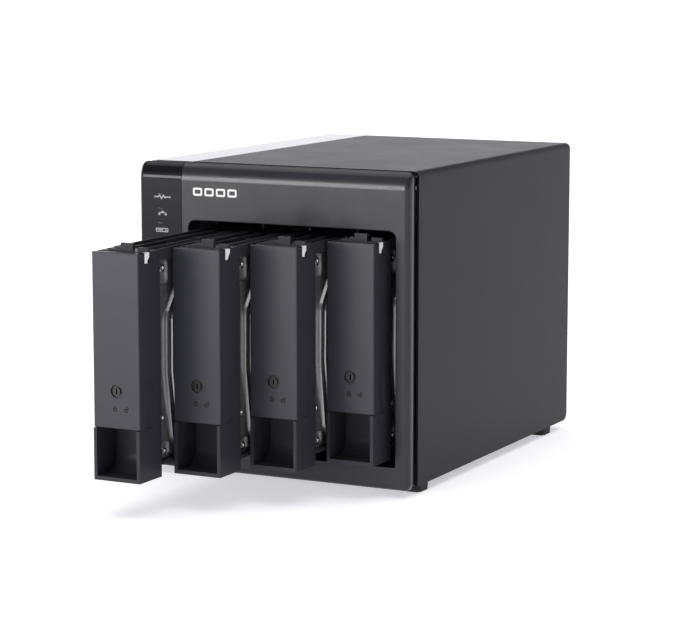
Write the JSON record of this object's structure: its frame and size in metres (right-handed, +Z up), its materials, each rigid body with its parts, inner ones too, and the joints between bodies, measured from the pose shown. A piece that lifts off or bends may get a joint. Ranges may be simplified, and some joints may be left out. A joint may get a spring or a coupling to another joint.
{
  "type": "network attached storage enclosure",
  "caption": "Desktop network storage enclosure with upright drive trays drawn out of its bay, key-locked tray doors, rear fan and ports.",
  "frame": {"origin": "on the desk below the middle of the whole object, trays drawn out as stored", "axes": "+X to the right seen from the front, +Y towards the back, +Z up"},
  "size_m": [0.16, 0.3234, 0.1685],
  "materials": {
    "bezel_plastic": "fine spark-eroded texture, satin",
    "gloss_column": "piano black, polished",
    "gloss_band": "piano black, polished",
    "smoked_window": "smoked clear",
    "cover_paint": "fine-texture powder coat",
    "foot_rubber": "matte",
    "cage_steel": "black zinc",
    "cage_plastic": "moulded",
    "circuit_board": "solder resist",
    "connector_plastic": "moulded",
    "component_plastic": "moulded",
    "port_metal": "plated",
    "switch_blue": "moulded",
    "slider_white": "moulded",
    "button_plastic": "moulded",
    "fan_plastic": "moulded",
    "guard_steel": "black coat",
    "screw_black": "black zinc",
    "cable_sleeve": "satin",
    "tray_plastic": "moulded, fine texture",
    "door_plastic": "fine texture, satin",
    "lock_metal": "black chrome",
    "light_pipe": "clear, frosted end",
    "drive_casting": "die cast",
    "drive_lid": "satin stainless sheet",
    "screw_steel": "plated"
  },
  "bodies": {
    "chassis": {"backplane_board": "circuit_board", "base_pan": "cover_paint", "board_components": "component_plastic", "cage_ceiling": "cage_plastic", "cage_floor": "cage_plastic", "cage_walls": "cage_steel", "case_screws": "screw_black", "dip_switch": "switch_blue", "drive_connectors": "connector_plastic", "fan_cable": "cable_sleeve", "fan_frame": "fan_plastic", "fan_guard": "guard_steel", "feet": "foot_rubber", "front_bezel": "bezel_plastic", "main_board": "circuit_board", "outer_cover": "cover_paint", "power_jack": "connector_plastic", "rear_panel": "cover_paint", "status_column": "gloss_column", "status_windows": "smoked_window", "top_band": "gloss_band", "usb_port": "port_metal"},
    "dip_slider_1": {"dip_slider_1": "slider_white"},
    "dip_slider_2": {"dip_slider_2": "slider_white"},
    "dip_slider_3": {"dip_slider_3": "slider_white"},
    "fan_rotor": {"fan_rotor": "fan_plastic"},
    "mode_button": {"mode_button": "button_plastic"},
    "power_button": {"power_button": "gloss_column"},
    "tray_1_door": {"tray_1_door": "door_plastic"},
    "tray_1": {"tray_1_drive_board": "circuit_board", "tray_1_drive_body": "drive_casting", "tray_1_drive_cover": "drive_lid", "tray_1_drive_screws": "screw_steel", "tray_1_frame": "tray_plastic", "tray_1_light_pipe": "light_pipe"},
    "tray_1_lock": {"tray_1_lock": "lock_metal"},
    "tray_2_door": {"tray_2_door": "door_plastic"},
    "tray_2": {"tray_2_drive_board": "circuit_board", "tray_2_drive_body": "drive_casting", "tray_2_drive_cover": "drive_lid", "tray_2_drive_screws": "screw_steel", "tray_2_frame": "tray_plastic", "tray_2_light_pipe": "light_pipe"},
    "tray_2_lock": {"tray_2_lock": "lock_metal"},
    "tray_3_door": {"tray_3_door": "door_plastic"},
    "tray_3": {"tray_3_drive_board": "circuit_board", "tray_3_drive_body": "drive_casting", "tray_3_drive_cover": "drive_lid", "tray_3_drive_screws": "screw_steel", "tray_3_frame": "tray_plastic", "tray_3_light_pipe": "light_pipe"},
    "tray_3_lock": {"tray_3_lock": "lock_metal"},
    "tray_4_door": {"tray_4_door": "door_plastic"},
    "tray_4": {"tray_4_drive_board": "circuit_board", "tray_4_drive_body": "drive_casting", "tray_4_drive_cover": "drive_lid", "tray_4_drive_screws": "screw_steel", "tray_4_frame": "tray_plastic", "tray_4_light_pipe": "light_pipe"},
    "tray_4_lock": {"tray_4_lock": "lock_metal"}
  },
  "joints": [
    {"name": "tray_1_slide", "type": "slide", "parent": "chassis", "child": "tray_1", "axis": [0, -1, 0], "range_m": [-0.1044, 0.0456]},
    {"name": "tray_1_door_hinge", "type": "hinge", "parent": "tray_1", "child": "tray_1_door", "pos_m": [-0.03035, -0.1567, 0.1304], "axis": [-1, 0, 0], "range_deg": [0, 60]},
    {"name": "tray_1_lock_turn", "type": "hinge", "parent": "tray_1_door", "child": "tray_1_lock", "pos_m": [-0.03035, -0.1617, 0.0644], "axis": [0, -1, 0], "range_deg": [0, 90]},
    {"name": "tray_2_slide", "type": "slide", "parent": "chassis", "child": "tray_2", "axis": [0, -1, 0], "range_m": [-0.0737, 0.0763]},
    {"name": "tray_2_door_hinge", "type": "hinge", "parent": "tray_2", "child": "tray_2_door", "pos_m": [-0.00225, -0.126, 0.1304], "axis": [-1, 0, 0], "range_deg": [0, 60]},
    {"name": "tray_2_lock_turn", "type": "hinge", "parent": "tray_2_door", "child": "tray_2_lock", "pos_m": [-0.00225, -0.131, 0.0644], "axis": [0, -1, 0], "range_deg": [0, 90]},
    {"name": "tray_3_slide", "type": "slide", "parent": "chassis", "child": "tray_3", "axis": [0, -1, 0], "range_m": [-0.0454, 0.1046]},
    {"name": "tray_3_door_hinge", "type": "hinge", "parent": "tray_3", "child": "tray_3_door", "pos_m": [0.02585, -0.0977, 0.1304], "axis": [-1, 0, 0], "range_deg": [0, 60]},
    {"name": "tray_3_lock_turn", "type": "hinge", "parent": "tray_3_door", "child": "tray_3_lock", "pos_m": [0.02585, -0.1027, 0.0644], "axis": [0, -1, 0], "range_deg": [0, 90]},
    {"name": "tray_4_slide", "type": "slide", "parent": "chassis", "child": "tray_4", "axis": [0, -1, 0], "range_m": [-0.0151, 0.1349]},
    {"name": "tray_4_door_hinge", "type": "hinge", "parent": "tray_4", "child": "tray_4_door", "pos_m": [0.05395, -0.0674, 0.1304], "axis": [-1, 0, 0], "range_deg": [0, 60]},
    {"name": "tray_4_lock_turn", "type": "hinge", "parent": "tray_4_door", "child": "tray_4_lock", "pos_m": [0.05395, -0.0724, 0.0644], "axis": [0, -1, 0], "range_deg": [0, 90]},
    {"name": "power_button_press", "type": "slide", "parent": "chassis", "child": "power_button", "axis": [0, 1, 0], "range_m": [0, 0.001], "stiffness_N_per_m": 400},
    {"name": "mode_button_press", "type": "slide", "parent": "chassis", "child": "mode_button", "axis": [0, -1, 0], "range_m": [0, 0.0008], "stiffness_N_per_m": 400},
    {"name": "dip_slider_1_slide", "type": "slide", "parent": "chassis", "child": "dip_slider_1", "axis": [1, 0, 0], "range_m": [0, 0.002]},
    {"name": "dip_slider_2_slide", "type": "slide", "parent": "chassis", "child": "dip_slider_2", "axis": [1, 0, 0], "range_m": [0, 0.002]},
    {"name": "dip_slider_3_slide", "type": "slide", "parent": "chassis", "child": "dip_slider_3", "axis": [1, 0, 0], "range_m": [0, 0.002]},
    {"name": "fan_spin", "type": "hinge", "parent": "chassis", "child": "fan_rotor", "pos_m": [0.011, 0.1427, 0.087], "axis": [0, 1, 0], "continuous": true}
  ]
}
